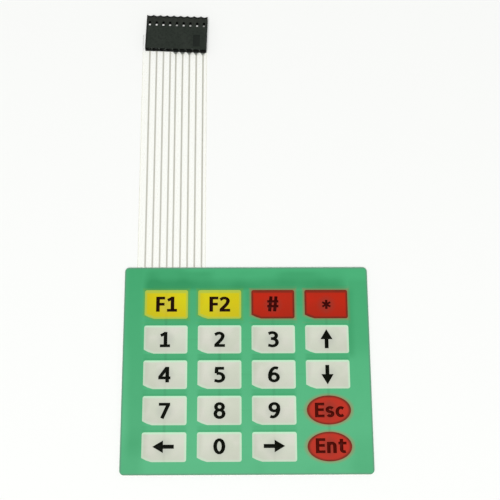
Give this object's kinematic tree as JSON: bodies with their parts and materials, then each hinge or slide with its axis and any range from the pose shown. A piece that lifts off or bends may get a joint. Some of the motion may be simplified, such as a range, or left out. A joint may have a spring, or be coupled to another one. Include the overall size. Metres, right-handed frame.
{
  "type": "matrix keypad",
  "caption": "Flat membrane keypad: a printed overlay over circuit films, with a clear flexible tail that ends in a crimped pin-socket connector.",
  "frame": {"origin": "centre of the pad's flat rear face, on the underside of the release liner", "axes": "+Z out of the pad's key face, +Y from the keys towards the tail and its connector, +X to the right as the keys are read"},
  "size_m": [0.085, 0.1712, 0.0026],
  "materials": {
    "liner_paper": "siliconised paper",
    "adhesive": "clear adhesive",
    "circuit_film": "clear polyester film",
    "spacer_film": "adhesive-coated polyester film",
    "overlay_green": "fine satin",
    "ink_white": "fine satin",
    "ink_yellow": "fine satin",
    "ink_red": "fine satin",
    "silver_ink": "screen-printed silver",
    "housing_black": "moulded",
    "tinned_contact": "bright tin plate",
    "legend_black": "printed"
  },
  "bodies": {
    "root": {"release_liner": "liner_paper", "rear_adhesive": "adhesive", "lower_circuit_film": "circuit_film", "circuit_spacer": "spacer_film", "upper_circuit_film": "circuit_film", "overlay_adhesive": "adhesive", "graphic_overlay": "overlay_green", "white_key_print": "ink_white", "yellow_key_print": "ink_yellow", "red_key_print": "ink_red", "connector_housing": "housing_black", "row_trace_1": "silver_ink", "row_trace_2": "silver_ink", "row_trace_3": "silver_ink", "row_trace_4": "silver_ink", "row_trace_5": "silver_ink", "column_trace_1": "silver_ink", "column_trace_2": "silver_ink", "column_trace_3": "silver_ink", "column_trace_4": "silver_ink", "contact_1": "tinned_contact", "contact_2": "tinned_contact", "contact_3": "tinned_contact", "contact_4": "tinned_contact", "contact_5": "tinned_contact", "contact_6": "tinned_contact", "contact_7": "tinned_contact", "contact_8": "tinned_contact", "contact_9": "tinned_contact"}
  },
  "joints": []
}
